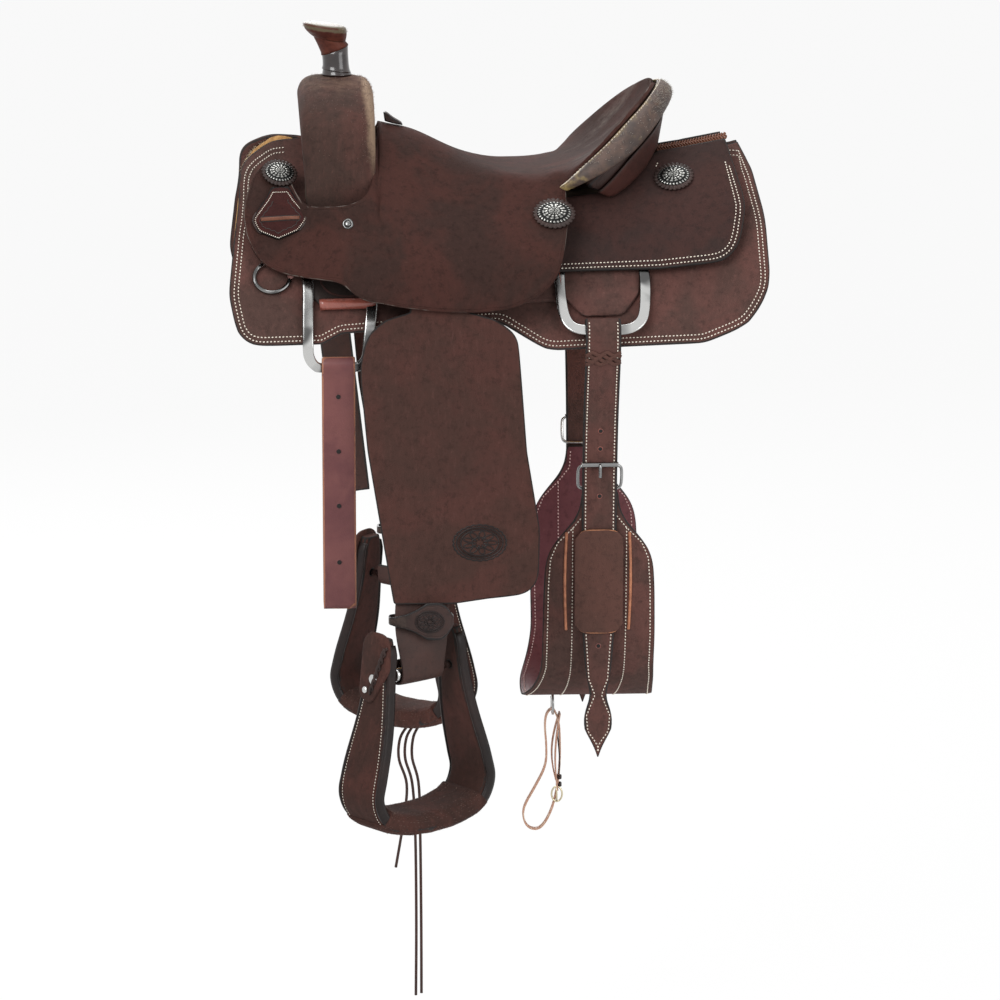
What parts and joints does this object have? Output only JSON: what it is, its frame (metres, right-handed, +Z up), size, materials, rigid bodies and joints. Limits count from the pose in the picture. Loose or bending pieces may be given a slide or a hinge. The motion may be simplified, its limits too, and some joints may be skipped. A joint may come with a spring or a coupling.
{
  "type": "western roping saddle",
  "caption": "Western roping saddle with horn, draped skirts, fenders with leather-wrapped stirrups, latigo and a hanging flank cinch.",
  "frame": {"origin": "middle of the horse's back under the seat, where the saddle is carried", "axes": "-X towards the horse's head, -Y towards the near (left) side, +Z up"},
  "size_m": [0.7023, 0.7232, 1.4329],
  "materials": {
    "tree_wood": "bare",
    "jockey_leather": "worn smooth",
    "roughout_leather": "rough-out",
    "dark_leather": "oiled",
    "worn_leather": "worn",
    "burgundy_leather": "oiled",
    "tan_leather": "plain",
    "horn_rawhide": "rawhide",
    "fleece": "woolly",
    "black_rubber": "glossy",
    "stainless": "polished",
    "black_silver": "antiqued"
  },
  "bodies": {
    "saddle": {"tree_bar_near": "tree_wood", "tree_bar_off": "tree_wood", "tree_fork": "tree_wood", "tree_cantle": "tree_wood", "fork_cover": "roughout_leather", "horn_core": "stainless", "horn_wrap": "black_rubber", "horn_cap_cover": "horn_rawhide", "seat_leather": "jockey_leather", "ground_seat": "dark_leather", "cantle_back": "jockey_leather", "cantle_binding": "worn_leather", "skirt_near": "roughout_leather", "skirt_off": "roughout_leather", "fleece_near": "fleece", "fleece_off": "fleece", "rear_jockey_near": "jockey_leather", "rear_jockey_off": "jockey_leather", "front_rigging_near": "burgundy_leather", "front_rigging_off": "burgundy_leather", "rear_rigging_near": "roughout_leather", "rear_rigging_off": "roughout_leather", "front_dee_near": "stainless", "front_dee_off": "stainless", "rear_dee_near": "stainless", "rear_dee_off": "stainless", "keyhole_patch_near": "dark_leather", "keyhole_patch_off": "dark_leather", "front_concho_near": "black_silver", "front_concho_off": "black_silver", "seat_concho_near": "black_silver", "seat_concho_off": "black_silver", "rear_concho_near": "black_silver", "rear_concho_off": "black_silver", "swell_tab": "black_rubber"},
    "fender_unit_near": {"fender_near": "roughout_leather", "stirrup_leather_near": "dark_leather", "hobble_strap_near": "dark_leather", "stirrup_bolt_near": "stainless"},
    "fender_unit_off": {"fender_off": "roughout_leather", "stirrup_leather_off": "dark_leather", "hobble_strap_off": "dark_leather", "stirrup_bolt_off": "stainless"},
    "stirrup_unit_near": {"stirrup_near": "roughout_leather"},
    "stirrup_unit_off": {"stirrup_off": "roughout_leather", "string_long_front": "dark_leather", "string_long_rear": "dark_leather", "string_short": "dark_leather"},
    "latigo_unit_near": {"latigo_near": "burgundy_leather"},
    "billet_unit_off": {"billet_off_front": "dark_leather"},
    "breast_ring_near": {"breast_dee_near": "stainless"},
    "breast_ring_off": {"breast_dee_off": "stainless"},
    "flank_set": {"flank_billet_near": "roughout_leather", "flank_billet_off": "roughout_leather", "flank_buckle_near": "stainless", "flank_buckle_off": "stainless", "flank_cinch": "roughout_leather", "cinch_keeper": "dark_leather"},
    "snap_unit": {"connector_snap": "stainless"},
    "tie_unit": {"connector_strap": "tan_leather"}
  },
  "joints": [
    {"name": "fender_swing_near", "type": "hinge", "parent": "saddle", "child": "fender_unit_near", "pos_m": [-0.09, -0.2187, -0.083], "axis": [0, 0.9903, -0.1392], "range_deg": [-12, 12]},
    {"name": "fender_swing_off", "type": "hinge", "parent": "saddle", "child": "fender_unit_off", "pos_m": [-0.09, 0.2187, -0.083], "axis": [0, 0.9903, 0.1392], "range_deg": [-12, 12]},
    {"name": "stirrup_turn_near", "type": "hinge", "parent": "fender_unit_near", "child": "stirrup_unit_near", "pos_m": [-0.122, -0.272, -0.545], "axis": [0.788, 0.6157, 0], "range_deg": [-30, 30]},
    {"name": "stirrup_turn_off", "type": "hinge", "parent": "fender_unit_off", "child": "stirrup_unit_off", "pos_m": [-0.122, 0.272, -0.545], "axis": [0.788, -0.6157, 0], "range_deg": [-30, 30]},
    {"name": "latigo_swing", "type": "hinge", "parent": "saddle", "child": "latigo_unit_near", "pos_m": [-0.22, -0.20946, -0.15635], "axis": [1, 0, 0], "range_deg": [-25, 12]},
    {"name": "off_billet_swing", "type": "hinge", "parent": "saddle", "child": "billet_unit_off", "pos_m": [-0.22, 0.20946, -0.15635], "axis": [-1, 0, 0], "range_deg": [-25, 12]},
    {"name": "breast_ring_lift_near", "type": "hinge", "parent": "saddle", "child": "breast_ring_near", "pos_m": [-0.304, -0.1747, -0.0225], "axis": [-1, 0, 0], "range_deg": [0, 10]},
    {"name": "breast_ring_lift_off", "type": "hinge", "parent": "saddle", "child": "breast_ring_off", "pos_m": [-0.304, 0.1747, -0.0225], "axis": [1, 0, 0], "range_deg": [0, 10]},
    {"name": "flank_swing", "type": "hinge", "parent": "saddle", "child": "flank_set", "pos_m": [0.1225, 0, -0.1105], "axis": [0, 1, 0], "range_deg": [-8, 8]},
    {"name": "snap_swing", "type": "hinge", "parent": "flank_set", "child": "snap_unit", "pos_m": [0.0715, 0, -0.6471], "axis": [0, 1, 0], "range_deg": [-30, 30]},
    {"name": "tie_swing", "type": "hinge", "parent": "snap_unit", "child": "tie_unit", "pos_m": [0.0715, 0, -0.6761], "axis": [0, 1, 0], "range_deg": [-25, 25]}
  ]
}
